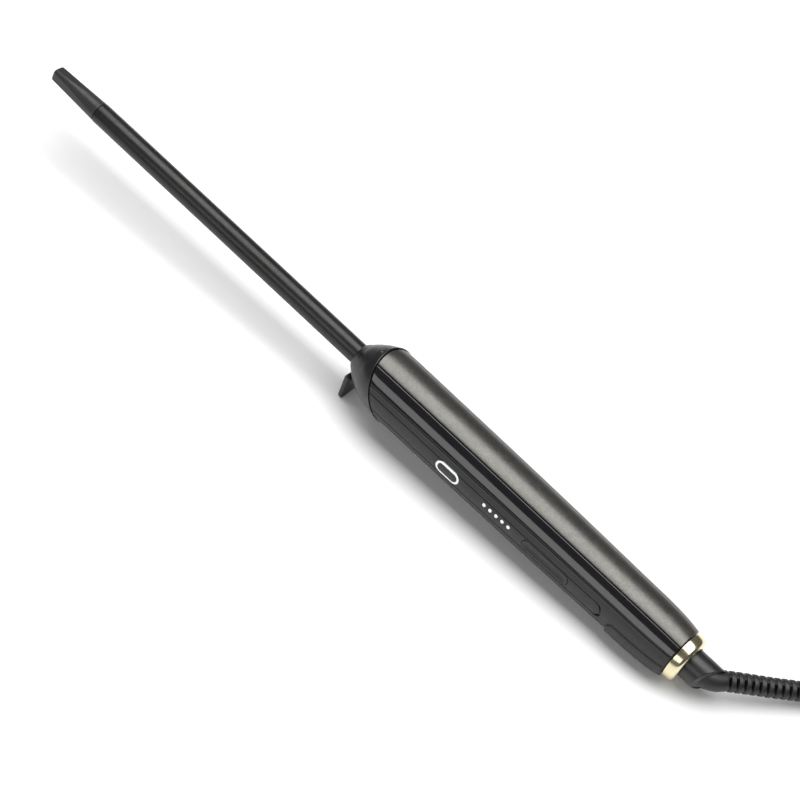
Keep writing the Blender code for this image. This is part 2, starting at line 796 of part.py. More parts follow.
def collar():
    """The turning collar and its journal; the end is cut at a slant."""
    made = turned(
        "swivel_collar",
        [
            (COLLAR_R, COLLAR_END + 4 * MM),
            (COLLAR_R, 162.0 * MM),
            (4.0 * MM, 162.0 * MM),
            (4.0 * MM, 149.8 * MM),
            (3.4 * MM, 149.8 * MM),
            (3.4 * MM, 147.6 * MM),
            (4.0 * MM, 147.6 * MM),
            (4.0 * MM, 137.0 * MM),
            (2.2 * MM, 137.0 * MM),
            (2.2 * MM, 175.5 * MM),
            (5.9 * MM, 175.5 * MM),
            (5.9 * MM, COLLAR_END + 4 * MM),
        ],
        SATIN_BLACK,
        SWIVEL,
        ring=True,
    )
    block = box(
        "collar_end_cutter", (-12 * MM, -12 * MM, 0.0), (12 * MM, 12 * MM, 20 * MM), None
    )
    block.data.transform(Matrix.Translation(block.location))
    normal = Vector((1.0, 0.0, 0.0)) - 0.43 * around(-110.0, 1.0, 0.0)
    block.rotation_euler = normal.to_track_quat("Z", "Y").to_euler()
    block.location = (COLLAR_END, 0.0, 0.0)
    cut(made, as_cutter(block))
    turned(
        "swivel_clip",
        [
            (5.6 * MM, 149.4 * MM),
            (5.6 * MM, 148.0 * MM),
            (3.7 * MM, 148.0 * MM),
            (3.7 * MM, 149.4 * MM),
        ],
        STEEL,
        SWIVEL,
        ring=True,
    )
    for name, x in (("slip_ring_live", 143.0 * MM), ("slip_ring_neutral", 139.6 * MM)):
        turned(
            name,
            [(5.2 * MM, x + 1.6 * MM), (5.2 * MM, x), (4.3 * MM, x), (4.3 * MM, x + 1.6 * MM)],
            COPPER,
            SWIVEL,
            ring=True,
            steps=24,
        )
    box(
        "brush_block", (138.6 * MM, 5.5 * MM, -4 * MM), (145.8 * MM, 8.3 * MM, 4 * MM), SWITCH_GREY
    )
    for name, side in (("supply_lead_1", 1), ("supply_lead_2", -1)):
        route = [(116, -3.7, 2), (124, -3.4, 2.2), (131, 0, 3), (135, 4.4, 2.6), (138.2, 6.8, 2)]
        tube(name, [Vector((x, y, side * z)) * MM for x, y, z in route], 0.8 * MM, LEAD_SLEEVE, sides=1)


def cord_exit():
    """The collar's end in the world."""
    turn = Matrix.Rotation(math.radians(TILT_DEG), 3, "Y")
    return ROOT + turn @ Vector((COLLAR_END, 0.0, 0.0))


def ring_round(centre, along, radius, count):
    side = along.cross(Vector((0.0, 0.0, 1.0))).normalized()
    up = side.cross(along).normalized()
    points = []
    for i in range(count):
        a = math.tau * i / count
        points.append(centre + side * (radius * math.cos(a)) + up * (radius * math.sin(a)))
    return points


def strain_relief():
    """The ribbed cord guard: a smooth elbow, then ribs."""
    base = cord_exit()
    fine, length = smooth_route(GUARD_ROUTE, 0.35 * MM)
    heights = [(0.0, 5.4 * MM), (5.8 * MM, 5.4 * MM), (8.4 * MM, 4.7 * MM), (11.5 * MM, 4.2 * MM)]
    start = RIB_START
    heights.append((start, GUARD_R - 0.2 * MM))
    for i in range(RIB_COUNT):
        at = start + i * RIB_PITCH
        full = GUARD_R + (GUARD_END_R - GUARD_R) * i / RIB_COUNT
        low = full - 0.85 * MM
        heights += [(at + 0.1 * MM, low), (at + 0.8 * MM, low), (at + 0.95 * MM, full),
                    (at + RIB_PITCH, full)]
    rings = []
    for at, radius in heights:
        k = min(len(fine) - 2, max(1, round(at / length * (len(fine) - 1))))
        along = (fine[k + 1] - fine[k - 1]).normalized()
        exact = fine[k] + along * (at - length * k / (len(fine) - 1))
        rings.append(ring_round(exact, along, radius, 16))
    made = loft("strain_relief", rings, SOFT_BLACK, parent=None)
    made.location = base
    smooth(made)


def cord():
    route, _ = smooth_route(CORD_ROUTE, 7 * MM)
    tube("cord_run", route, CORD_R, SOFT_BLACK, parent=None)
    half_w, half_h = COIL_WIDTH / 2, COIL_HEIGHT / 2
    corner = 4.5 * MM
    profile = []
    for start, sx, sz in ((90, 1, 1), (0, 1, -1), (-90, -1, -1), (-180, -1, 1)):
        for i in range(5):
            a = math.radians(start - 90 * i / 4)
            profile.append((
                COIL_MIDDLE_R + sx * (half_w - corner) + corner * math.cos(a),
                sz * (half_h - corner) + corner * math.sin(a),
            ))
    coil = turned("cord_coil", profile, SOFT_BLACK, None, steps=40, ring=True, lay_down=False)
    x, y = COIL_CENTRE
    coil.location = (x * MM, y * MM, COIL_LIFT + half_h)
    tie()


def tie():
    """A strap round the coil."""
    wall = 1.2 * MM
    side = 0.8 * MM
    half_w = COIL_WIDTH / 2 + side
    half_h = COIL_HEIGHT / 2 + GAP
    a = math.radians(TIE_DEG)
    x, y = COIL_CENTRE
    centre = Vector((x * MM, y * MM, COIL_LIFT + COIL_HEIGHT / 2))
    centre += Vector((math.cos(a), math.sin(a), 0.0)) * COIL_MIDDLE_R
    low = Vector((-half_w - wall, -5 * MM, -half_h - wall))
    made = box("cord_tie", low, -low, FABRIC, None)
    hole = box("tie_cutter", (-half_w, -8 * MM, -half_h), (half_w, 8 * MM, half_h), None, None)
    for piece in (made, hole):
        piece.location = centre
        piece.rotation_euler = (0.0, 0.0, a)
    cut(made, as_cutter(hole))


def plug():
    """A flat two-pin plug lying on the coil, and the last of the cord."""
    frame_at(PLUG, Vector(PLUG_AT) * MM, (0.0, 0.0, math.radians(90.0)))
    rings = []
    for at, half_w, half_h in (
        (0.0, 5.0, 5.0),
        (3.0, 5.6, 5.4),
        (16.0, 11.0, 6.4),
        (24.0, 16.0, 6.7),
        (33.0, 17.2, 6.8),
        (35.0, 16.4, 6.2),
    ):
        rings.append(superellipse(at, half_w, half_h))
    body = loft("plug_body", rings, SATIN_BLACK, PLUG)
    smooth(body, 50)
    for number, side in ((1, -1), (2, 1)):
        pin = rod(f"plug_pin_{number}", 2.0 * MM, 19.0 * MM, BRASS, PLUG, segments=16)
        pin.rotation_euler = (0.0, math.pi / 2, 0.0)
        pin.location = (35.3 * MM + 9.5 * MM, side * 9.3 * MM, 0.0)
    last, _ = smooth_route(CORD_END_ROUTE, 7 * MM)
    tube("cord_end", last, CORD_R, SOFT_BLACK, parent=None)


def superellipse(at, half_w, half_h, count=24, power=2.6):
    points = []
    for i in range(count):
        a = math.tau * i / count
        c, s = math.cos(a), math.sin(a)
        points.append((
            at * MM,
            math.copysign(abs(c) ** (2 / power), c) * half_w * MM,
            math.copysign(abs(s) ** (2 / power), s) * half_h * MM,
        ))
    return points


clear_scene()
PARTS = bpy.data.collections.new("curling_iron")
CUTTERS = bpy.data.collections.new("cutters")
bpy.context.scene.collection.children.link(PARTS)
bpy.context.scene.collection.children.link(CUTTERS)
frame_at(WAND, ROOT, (0.0, math.radians(TILT_DEG), 0.0))
frame_at(SWIVEL, (0.0, 0.0, 0.0), (0.0, 0.0, 0.0), WAND)

GRAPHITE = material("barrel_graphite", (0.075, 0.073, 0.072), 0.36, 0.85)
TIP_PLASTIC = material("tip_plastic", (0.035, 0.035, 0.036), 0.5)
CERAMIC = material("ceramic", (0.78, 0.76, 0.7), 0.6)
GLASS_BEAD = material("sensor_bead", (0.55, 0.35, 0.2), 0.4)
LEAD_SLEEVE = material("lead_sleeve", (0.75, 0.72, 0.66), 0.6)
INSULATOR = material("insulator", (0.2, 0.19, 0.18), 0.55)
NOSE_PLASTIC = material("nose_plastic", (0.022, 0.022, 0.023), 0.3)
STEEL = material("steel", (0.55, 0.55, 0.56), 0.3, 1.0)
STAND_PLASTIC = material("stand_plastic", (0.03, 0.03, 0.032), 0.45)
PEWTER = material("pewter_paint", (0.24, 0.235, 0.22), 0.34, 0.9)
GLOSS_BLACK = material("gloss_black", (0.012, 0.012, 0.014), 0.12)
MATTE_BLACK = material("matte_black", (0.03, 0.03, 0.031), 0.5)
PANEL_BLACK = material("panel_black", (0.028, 0.028, 0.029), 0.55)
RUBBER = material("heel_rubber", (0.032, 0.032, 0.033), 0.6)
LIGHT_WHITE = material("light_white", (0.9, 0.92, 0.93), 0.3)
BOARD_GREEN = material("board_green", (0.04, 0.2, 0.08), 0.5)
SWITCH_GREY = material("switch_grey", (0.08, 0.08, 0.08), 0.5)
GOLD = material("gold", (0.83, 0.7, 0.42), 0.14, 1.0)
SATIN_BLACK = material("satin_black", (0.018, 0.018, 0.019), 0.32)
COPPER = material("copper", (0.8, 0.42, 0.25), 0.3, 1.0)
SOFT_BLACK = material("soft_black", (0.016, 0.016, 0.017), 0.5)
FABRIC = material("tie_fabric", (0.02, 0.02, 0.02), 0.9)
BRASS = material("pin_nickel", (0.7, 0.68, 0.6), 0.25, 1.0)

barrel()
cool_tip()
heater()
barrel_holder()
nose()
stand()
back_shell()
front_shell()
grip_frame()
heel_pad()
control_panel()
controls()
rocker()
electronics()
ring_and_swivel()
collar()
strain_relief()
cord()
plug()
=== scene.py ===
"""Looks of the slim-barrel curling iron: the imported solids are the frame, in metres, +Z up.

The wand's own frame has X along it (tip towards -X), with the nose opening at 0. An angle round the wand
is counted in degrees from its top towards -Y, the side that the controls face. Lengths are in millimetres until
they are multiplied by MM; the studio's are in metres.
"""
import json
import math

import bmesh
import bpy
from mathutils import Matrix, Vector


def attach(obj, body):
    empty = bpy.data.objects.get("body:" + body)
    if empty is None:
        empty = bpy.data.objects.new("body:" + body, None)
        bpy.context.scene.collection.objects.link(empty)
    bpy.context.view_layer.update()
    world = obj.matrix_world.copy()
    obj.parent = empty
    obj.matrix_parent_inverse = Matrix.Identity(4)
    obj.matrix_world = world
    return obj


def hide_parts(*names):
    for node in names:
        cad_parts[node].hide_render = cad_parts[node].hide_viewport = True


MM = 0.001
SWIVEL_JOINT_X = 0.170  # metres along the wand, from the nose opening

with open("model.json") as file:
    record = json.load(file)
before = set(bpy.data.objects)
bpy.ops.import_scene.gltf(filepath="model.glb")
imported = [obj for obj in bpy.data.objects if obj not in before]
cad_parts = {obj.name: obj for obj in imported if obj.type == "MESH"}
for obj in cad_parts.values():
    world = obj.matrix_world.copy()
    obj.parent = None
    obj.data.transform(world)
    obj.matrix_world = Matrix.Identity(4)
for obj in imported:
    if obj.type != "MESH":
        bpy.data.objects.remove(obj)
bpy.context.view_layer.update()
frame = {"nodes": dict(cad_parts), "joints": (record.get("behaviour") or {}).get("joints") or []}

swivel = next(j for j in frame["joints"] if j["name"] == "cord_swivel")
AXIS = Vector(swivel["axis"]).normalized()
ROOT = Vector(swivel["pos_m"]) - AXIS * SWIVEL_JOINT_X
TILT = math.atan2(-AXIS.z, AXIS.x)
WAND = Matrix.Translation(ROOT) @ Matrix.Rotation(TILT, 4, "Y")

BARREL_R = 4.5
BARREL_BORE_R = 3.9
BARREL_END = 30.0

TIP_END = -172.0
TIP_BASE = -146.85
TIP_R = 3.4
TIP_BASE_R = 4.35
TIP_PLUG_R = 3.6
TIP_ROUNDED_TO = -171.0
# The flats on the tip: (angle, how far back each reaches).
TIP_FLATS = ((-11, 16.0), (79, 22.0), (169, 16.0), (259, 22.0))

# Handle: (place along the wand, outer radius).
HANDLE_PROFILE = (
    (4.0, 11.6), (8.0, 12.6), (11.0, 13.2), (15.0, 13.5), (22.0, 13.6), (40.0, 13.5), (63.0, 13.42),
    (86.0, 13.25), (109.0, 12.98), (128.0, 12.66), (142.0, 12.42), (151.0, 12.3), (158.5, 11.98),
    (164.0, 11.45), (168.4, 10.7),
)
HANDLE_END = 168.4

# Nose: (outer radius, where it is on top, half of how far the bottom lags behind the top).
NOSE_PROFILE = (
    (5.05, 0.7, 0.0), (5.4, 0.9, 0.0), (6.0, 1.5, 0.05), (6.9, 2.55, 0.1), (8.6, 4.3, 0.36),
    (10.3, 6.4, 1.16), (11.7, 8.25, 2.15), (12.75, 9.95, 3.9), (13.25, 10.7, 6.2), (13.55, 11.0, 8.0),
)
NOSE_BORE_R = 4.8
NOSE_WALL = 1.6
SCREW_X = 9.5

STAND_PIN = (3.4, -8.6)
STAND_PIN_BOSS_R = 1.0
STAND_FOOT_Z = -20.45
STAND_LEAN = 0.055

# Borders round the handle, in degrees, from its far side over the top to the underside.
FAR_SEAM = -40.0
SEAM = 26.0
PANEL_TOP = 71.2
PANEL_LOW = 97.0
LOW_GROOVE = 110.0
LOW_SEAM = 148.0
HALF_GAP = 0.75
NEAR_BORDER = 2.5

PANEL_MIDDLE = (PANEL_LOW + PANEL_TOP) / 2
PANEL_HALF = (PANEL_LOW - PANEL_TOP) / 2
PANEL_END = 137.2
PANEL_END_ROUND = 2.6
PANEL_GAP = 0.22
PANEL_SKIN_R = 12.8
PANEL_FILLET = 0.16
BASIN_DEPTH = 0.8
UNDER_MATTE = -1.5
SHELL_CLEARANCE = 0.28
MATTE_CLEARANCE = 0.3

HEEL_START = 142.0
HEEL_LOW = 144.0
HEEL_LIFT = 0.75

# Controls: their places along the wand, and their angles.
BUTTON_X, BUTTON_DEG = 59.4, 83.3
KEY_X, KEY_DEG = 109.8, 82.6
LIGHT_X, LIGHT_PITCH, LIGHT_DEG = 78.4, 3.1, 79.9
LIGHT_COUNT = 5

COLLAR_R = 6.5
COLLAR_END = 182.9
COLLAR_SLANT = 0.51
COLLAR_SLANT_DEG = 89.0

# The cord guard's middle line, in the row frame.
GUARD_ROUTE = (
    (149.4, -13.2, 10.75), (152.3, -12.7, 10.55), (154.9, -11.0, 10.2), (157.3, -8.3, 9.8), (163.3, -2.5, 9.0),
    (170.6, 4.3, 8.1), (177.8, 11.3, 7.2), (188.0, 20.8, 5.9), (198.5, 29.6, 4.8), (203.5, 33.6, 4.3),
)
GUARD_NECK_R = 4.9
GUARD_RIB_START, GUARD_PITCH, GUARD_R, GUARD_TAIL_R = 10.0, 3.0, 4.05, 3.75
GUARD_END_R = 3.4
SLOT_DEGS = (47.0, 227.0)

# The cord, in the row frame: a run on the floor, the coil, and its end on top of the coil at the plug.
CORD_D = 6.4
RUN_ROUTE = (
    (201.0, 31.6, 4.5), (208.6, 37.4, 3.7), (218.1, 44.2, 3.3), (228.6, 51.6, 3.3), (237.0, 57.4, 3.3),
)
COIL_CENTRE = (266.1, 20.26)
COIL_MIDDLE_R = 34.0
# Each is (degrees, radius, height) about the coil's centre.
COIL_LEAD_IN = ((124.0, 46.6, 3.3), (104.0, 44.0, 3.6), (84.0, 41.2, 4.5), (60.0, 40.4, 4.9))
COIL_LEAD_OUT = (
    (305.0, 27.7, 18.6), (290.0, 28.6, 21.0), (276.0, 30.6, 22.9), (263.0, 33.6, 24.4), (251.0, 36.6, 25.5),
    (240.0, 38.6, 26.2),
)
# Each is (height, the radii of the turns in that layer).
COIL_LAYERS = ((4.9, (40.4, 34.0, 27.6)), (10.5, (30.8, 37.2)), (16.1, (40.4, 34.0, 27.6)))
COIL_START_DEG = 60.0
TURN_SWEEP = 295.0
LAST_SWEEP = 98.0
POINTS_PER_TURN = 13
END_ROUTE = ((238.4, -9.6, 26.4), (238.1, -5.3, 26.4))
TIE_DEG = -20.0
TIE_Z = 10.5

PLUG_AT = (238.1, -4.74, 26.4)
PLUG_PIN_OFFSET = 9.3
# Plug body: (place along it, half width, half height).
PLUG_PROFILE = (
    (0.0, 4.6, 4.6), (0.3, 5.0, 5.0), (3.0, 5.6, 5.4), (9.0, 7.6, 5.9), (16.0, 11.0, 6.4), (20.0, 13.8, 6.6),
    (24.0, 16.0, 6.7), (29.0, 17.0, 6.8), (33.0, 17.2, 6.8), (34.4, 16.9, 6.6), (35.0, 16.2, 6.0),
)
PLUG_CORNER_POWER = 2.6

CAMERA_DISTANCE = 1.0
FLOOR_HALF = 3.0


# ---------------------------------------------------------------- finishes

def shader_of(paint):
    return paint.node_tree.nodes["Principled BSDF"]


def finish(name, colour, roughness, metallic=0.0, vary=0.12, grain=900.0, bump=0.03, wear=0.05, coat=0.0,
           flake=0.0, glow=0.0):
    """A procedural finish: cloudy colour with worn patches, grain in the roughness and a fine bump."""
    paint = bpy.data.materials.new(name + "_finish")
    paint.use_nodes = True
    tree = paint.node_tree
    link = tree.links.new
    shader = shader_of(paint)
    shader.inputs["Metallic"].default_value = metallic
    shader.inputs["Coat Weight"].default_value = coat
    shader.inputs["Coat Roughness"].default_value = 0.06
    place = tree.nodes.new("ShaderNodeTexCoord").outputs["Object"]

    def noise(scale, detail, distortion=0.0):
        made = tree.nodes.new("ShaderNodeTexNoise")
        made.inputs["Scale"].default_value = scale
        made.inputs["Detail"].default_value = detail
        made.inputs["Distortion"].default_value = distortion
        link(place, made.inputs["Vector"])
        return made.outputs["Fac"]

    def spread_to(value, low, high, start=0.3, end=0.7):
        made = tree.nodes.new("ShaderNodeMapRange")
        made.inputs["From Min"].default_value = start
        made.inputs["From Max"].default_value = end
        made.inputs["To Min"].default_value = low
        made.inputs["To Max"].default_value = high
        link(value, made.inputs["Value"])
        return made.outputs["Result"]

    def mixed(factor, a, b):
        made = tree.nodes.new("ShaderNodeMix")
        made.data_type = "RGBA"
        link(factor, made.inputs["Factor"])
        for socket, value in ((made.inputs["A"], a), (made.inputs["B"], b)):
            if isinstance(value, tuple):
                socket.default_value = (*value, 1.0)
            else:
                link(value, socket)
        return made.outputs["Result"]

    dark = tuple(c * (1 - vary) for c in colour)
    light = tuple(min(1.0, c * (1 + vary)) for c in colour)
    tone = mixed(spread_to(noise(45.0, 4.0), 0.0, 1.0), dark, light)
    if flake:
        sparkle = tree.nodes.new("ShaderNodeTexVoronoi")
        sparkle.inputs["Scale"].default_value = 5200.0
        link(place, sparkle.inputs["Vector"])
        bright = tuple(min(1.0, c * (1 + flake)) for c in colour)
        split = tree.nodes.new("ShaderNodeSeparateColor")
        link(sparkle.outputs["Color"], split.inputs["Color"])
        tone = mixed(spread_to(split.outputs["Red"], 0.0, 1.0, 0.5, 1.0), tone, bright)
    worn = spread_to(noise(160.0, 8.0, 1.5), 0.0, 1.0, 0.62, 0.74)
    tone = mixed(worn, tone, tuple(min(1.0, c * (1 + 4 * wear) + 0.01 * wear) for c in colour))
    link(tone, shader.inputs["Base Color"])
    polish = spread_to(noise(grain * 0.25, 5.0), max(0.02, roughness - 0.05), roughness + 0.06)
    link(polish, shader.inputs["Roughness"])
    relief = tree.nodes.new("ShaderNodeBump")
    relief.inputs["Strength"].default_value = bump
    relief.inputs["Distance"].default_value = 0.0002
    link(noise(grain, 3.0), relief.inputs["Height"])
    link(relief.outputs["Normal"], shader.inputs["Normal"])
    if glow:
        shader.inputs["Emission Color"].default_value = (*colour, 1.0)
        shader.inputs["Emission Strength"].default_value = glow
    return paint


FINISH = {
    "barrel_graphite": finish("barrel_graphite", (0.03, 0.0295, 0.029), 0.3, 0.6, bump=0.08, grain=1800.0),
    "tip_plastic": finish("tip_plastic", (0.02, 0.02, 0.02), 0.42, bump=0.12, grain=1500.0),
    "nose_plastic": finish("nose_plastic", (0.011, 0.011, 0.0115), 0.3, bump=0.05, grain=1400.0),
    "stand_plastic": finish("stand_plastic", (0.013, 0.013, 0.014), 0.4, bump=0.12, grain=1300.0),
    "pewter_paint": finish("pewter_paint", (0.105, 0.102, 0.095), 0.33, 0.85, vary=0.05, bump=0.08, grain=2600.0,
                           flake=0.45),
    "gloss_black": finish("gloss_black", (0.006, 0.006, 0.0075), 0.09, vary=0.2, bump=0.008, wear=0.02, coat=0.6),
    "matte_black": finish("matte_black", (0.02, 0.02, 0.0205), 0.52, bump=0.16, grain=2400.0),
    "panel_black": finish("panel_black", (0.019, 0.019, 0.0195), 0.55, bump=0.14, grain=2400.0),
    "heel_rubber": finish("heel_rubber", (0.02, 0.02, 0.021), 0.58, bump=0.2, grain=2000.0),
    "light_white": finish("light_white", (0.86, 0.89, 0.9), 0.35, vary=0.02, bump=0.02, glow=0.25),
    "gold": finish("gold", (0.76, 0.68, 0.46), 0.16, 1.0, vary=0.04, bump=0.01, wear=0.03),
    "satin_black": finish("satin_black", (0.012, 0.012, 0.0125), 0.34, bump=0.06, grain=1500.0),
    "soft_black": finish("soft_black", (0.011, 0.011, 0.0115), 0.47, bump=0.14, grain=1700.0),
    "tie_fabric": finish("tie_fabric", (0.016, 0.016, 0.017), 0.85, vary=0.3, bump=0.6, grain=2600.0),
    "pin_nickel": finish("pin_nickel", (0.68, 0.66, 0.6), 0.24, 1.0, vary=0.05, bump=0.03),
    "steel": finish("steel", (0.5, 0.5, 0.51), 0.32, 1.0, bump=0.06),
    "copper": finish("copper", (0.75, 0.4, 0.24), 0.3, 1.0, bump=0.05),
    "ceramic": finish("ceramic", (0.74, 0.72, 0.66), 0.6, bump=0.15),
    "sensor_bead": finish("sensor_bead", (0.5, 0.32, 0.18), 0.35),
    "lead_sleeve": finish("lead_sleeve", (0.7, 0.67, 0.62), 0.6, bump=0.3, grain=2500.0),
    "insulator": finish("insulator", (0.17, 0.16, 0.15), 0.55, bump=0.15),
    "board_green": finish("board_green", (0.035, 0.18, 0.07), 0.45, vary=0.2),
    "switch_grey": finish("switch_grey", (0.07, 0.07, 0.07), 0.5, bump=0.1),
}


def refinish_kept_nodes():
    """The solids that are shown as they are get a procedural finish too."""
    for node in frame["nodes"].values():
        for slot in node.material_slots:
            base = slot.material.name.split(".")[0] if slot.material else "insulator"
            slot.material = FINISH.get(base, FINISH["insulator"])


# ---------------------------------------------------------------- shapes

def curve_value(points, at, column=1):
    """A smooth value read between design points (place, value, ...)."""
    if at <= points[0][0]:
        return points[0][column]
    for i in range(len(points) - 1):
        x0, x1 = points[i][0], points[i + 1][0]
        if at <= x1:
            t = (at - x0) / (x1 - x0)
            y0, y1 = points[i][column], points[i + 1][column]
            before = points[max(0, i - 1)]
            after = points[min(len(points) - 1, i + 2)]
            m0 = (y1 - before[column]) / (x1 - before[0]) * (x1 - x0)
            m1 = (after[column] - y0) / (after[0] - x0) * (x1 - x0)
            t2, t3 = t * t, t ** 3
            near = (2 * t3 - 3 * t2 + 1) * y0 + (t3 - 2 * t2 + t) * m0
            return near + (3 * t2 - 2 * t3) * y1 + (t3 - t2) * m1
    return points[-1][column]


def handle_radius(x):
    return curve_value(HANDLE_PROFILE, x)


def seam_x(degrees):
    """Where the nose meets the handle at an angle: the bottom lags behind the top."""
    return 11.0 + 8.0 * (1 - math.cos(math.radians(degrees - 1.0)))


def around(degrees, radius, x):
    """A point on the wand, in metres."""
    a = math.radians(degrees)
    return Vector((x, -radius * math.sin(a), radius * math.cos(a))) * MM


def circle(x, radius, steps):
    return [around(360 * i / steps, radius, x) for i in range(steps)]


def surface(degrees, x, height, across=0.0):
    """A point on the handle: height above its skin, across in millimetres further round."""
    r = handle_radius(x)
    return around(degrees + math.degrees(across / r), r + height, x)


def spread(first, last, step):
    """Evenly spaced values from first to last, no further apart than step."""
    count = max(1, math.ceil(abs(last - first) / step - 1e-6))
    return [first + (last - first) * i / count for i in range(count + 1)]


def lofted(name, rings, slot, closed=False, sharp=40.0):
    """A closed body through rings of points: closed joins its two ends, else each end gets a face."""
    mesh = bmesh.new()
    rows = [[mesh.verts.new(p) for p in ring] for ring in rings]
    count = len(rows[0])
    pairs = list(zip(rows, rows[1:]))
    if closed:
        pairs.append((rows[-1], rows[0]))
    for a, b in pairs:
        for j in range(count):
            k = (j + 1) % count
            mesh.faces.new((a[j], a[k], b[k], b[j]))
    if not closed:
        mesh.faces.new(rows[0])
        mesh.faces.new(rows[-1])
    bmesh.ops.remove_doubles(mesh, verts=mesh.verts, dist=1e-7)
    bmesh.ops.recalc_face_normals(mesh, faces=mesh.faces)
    data = bpy.data.meshes.new(name)
    mesh.to_mesh(data)
    mesh.free()
    data.shade_smooth()
    data.set_sharp_from_angle(angle=math.radians(sharp))
    data.materials.append(FINISH[slot])
    made = bpy.data.objects.new(name, data)
    bpy.context.scene.collection.objects.link(made)
    made["finish_slot"] = slot
    return made


def settle(made, body, *nodes, world=False):
    """Put a piece in the row frame, on its body, in place of its CAD nodes."""
    if not world:
        made.data.transform(WAND)
    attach(made, body)
    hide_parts(*nodes)
    return made


def cut_out(made, cutters):
    """Take the cutters out of a piece for good."""
    for cutter in cutters:
        modifier = made.modifiers.new("cut", "BOOLEAN")
        modifier.operation = "DIFFERENCE"
        modifier.solver = "EXACT"
        modifier.object = cutter
    bpy.context.view_layer.update()
    evaluated = made.evaluated_get(bpy.context.evaluated_depsgraph_get())
    data = bpy.data.meshes.new_from_object(evaluated)
    made.modifiers.clear()
    made.data = data
    data.shade_smooth()
    data.set_sharp_from_angle(angle=math.radians(35.0))
    for cutter in cutters:
        bpy.data.objects.remove(cutter, do_unlink=True)


def stadium(length, width, segments=12):
    """Outline of a slot with round ends, centred, longer along the wand."""
    r = width / 2
    half = length / 2 - r
    points = []
    for side, start in ((1, -90), (-1, 90)):
        for i in range(segments + 1):
            a = math.radians(start + 180 * i / segments)
            points.append((side * half + r * math.cos(a), r * math.sin(a)))
    return points


def inlay_rings(x, degrees, rings):
    """Slot outlines bent onto the handle; each of rings is (length, width, height above the skin)."""
    made = []
    for length, width, height in rings:
        made.append([surface(degrees, x + a, height, b) for a, b in stadium(length, width)])
    return made


def inlay(name, x, degrees, rings, slot):
    """A piece let into the handle: its rings go from its back round to its middle."""
    return lofted(name, inlay_rings(x, degrees, rings), slot, sharp=50.0)


def edge(angle, inward, fillet=0.28, base=0.0):
    """Columns that round over the long border of a skin; inward is +1 or -1."""
    step = math.degrees(1 / 13.0) * inward  # one millimetre, near enough
    return [
        (angle, base - fillet),
        (angle + 0.09 * step, base - fillet * 0.45),
        (angle + 0.2 * step, base - fillet * 0.12),
        (angle + 0.4 * step, base),
    ]


def skin(name, columns, start, end, depth, slot, start_fillet=0.22, end_fillet=0.22, dense=()):
    """A curved wall on the handle.

    columns(x) gives (angle, height) pairs across it, start(angle) is its nose end, and dense lists more places
    that need a ring. Rings follow the slanted nose end at first, and stand square further on.
    """
    inset = [(0.0, start_fillet), (0.1, start_fillet * 0.4), (0.25, start_fillet * 0.1), (0.45, 0.0)]
    settled = 0.5  # just past the inset
    across = columns(60.0)
    first = min(start(a) for a, _ in across)
    marks = sorted(set(spread(first + 3.0, end - 1.0, 2.5) + list(dense)))
    rings = []

    def ring(place, drop):
        outer, inner = [], []
        for angle, height in columns(place(across[0][0])):
            x = place(angle)
            r = handle_radius(x)
            outer.append(around(angle, r + height - drop, x))
            inner.append(around(angle, r - depth, x))
        return outer + inner[::-1]

    def at_mark(mark):
        share = (mark - first - settled) / (end - first - settled)
        least = mark if share > 0.25 else 0.0
        return lambda a: max(least, start(a) + settled + (end - start(a) - settled) * share)

    for shift, drop in inset:
        rings.append(ring(lambda a, s=shift: start(a) + s, drop))
    for mark in marks:
        rings.append(ring(at_mark(mark), 0.0))
    for shift, drop in reversed(inset):
        rings.append(ring(lambda a, s=shift: end - s, drop))
    return lofted(name, rings, slot, sharp=38.0)


# ---------------------------------------------------------------- pieces

def barrel():
    profile = (
        (-146.5, BARREL_BORE_R), (-146.5, 4.35), (-146.42, 4.47), (-146.25, BARREL_R), (-100.0, BARREL_R),
        (-50.0, BARREL_R), (5.0, BARREL_R), (BARREL_END, BARREL_R), (BARREL_END, BARREL_BORE_R),
    )
    rings = [circle(x, r, 96) for x, r in profile]
    settle(lofted("barrel", rings, "barrel_graphite", closed=True), "handle", "barrel_tube")


def tip_radius(x):
    """The tip without its flats: rounded at its end, tapered, and drawn in at the barrel."""
    if x < TIP_ROUNDED_TO:
        return TIP_R - 1.0 * (1 - math.sqrt(max(0.0, 1 - ((TIP_ROUNDED_TO - x) / 1.0) ** 2)))
    radius = TIP_R + (TIP_BASE_R - TIP_R) * (x - TIP_ROUNDED_TO) / 24.2
    if x > -147.2:
        radius -= 0.25 * ((x + 147.2) / 0.35) ** 2
    return radius


def cool_tip():
    """A tapered tip with four flats ground into its end."""
    steps = 120
    flat_distance, flat_depth, taper, taper_length = 2.78, 0.62, 0.95, 25.5
    end = [TIP_END, -171.97, -171.85, -171.6, -171.3, TIP_ROUNDED_TO]
    rings = []
    for x in end + spread(-170.5, -147.4, 0.7) + [-147.1, -146.95, TIP_BASE]:
        row = []
        for i in range(steps):
            a = 360 * i / steps
            r = tip_radius(x)
            for angle, reach in TIP_FLATS:
                facing = math.cos(math.radians(a - angle))
                if facing > 0.3:
                    slope = flat_depth + taper * reach / taper_length
                    plane = flat_distance + (x - TIP_END) * slope / reach
                    if x < TIP_ROUNDED_TO:
                        plane -= 0.5 * (TIP_ROUNDED_TO - x) ** 2
                    r = min(r, plane / facing)
            row.append(around(a, r, x))
        rings.append(row)
    rings += [circle(x, TIP_PLUG_R, steps) for x in (TIP_BASE, -139.0)]
    settle(lofted("cool_tip_form", rings, "tip_plastic", sharp=30.0), "handle", "cool_tip")


def nose_ring(radius, top, lag, steps):
    angles = [360 * i / steps for i in range(steps)]
    return [around(a, radius, top + lag * (1 - math.cos(math.radians(a)))) for a in angles]


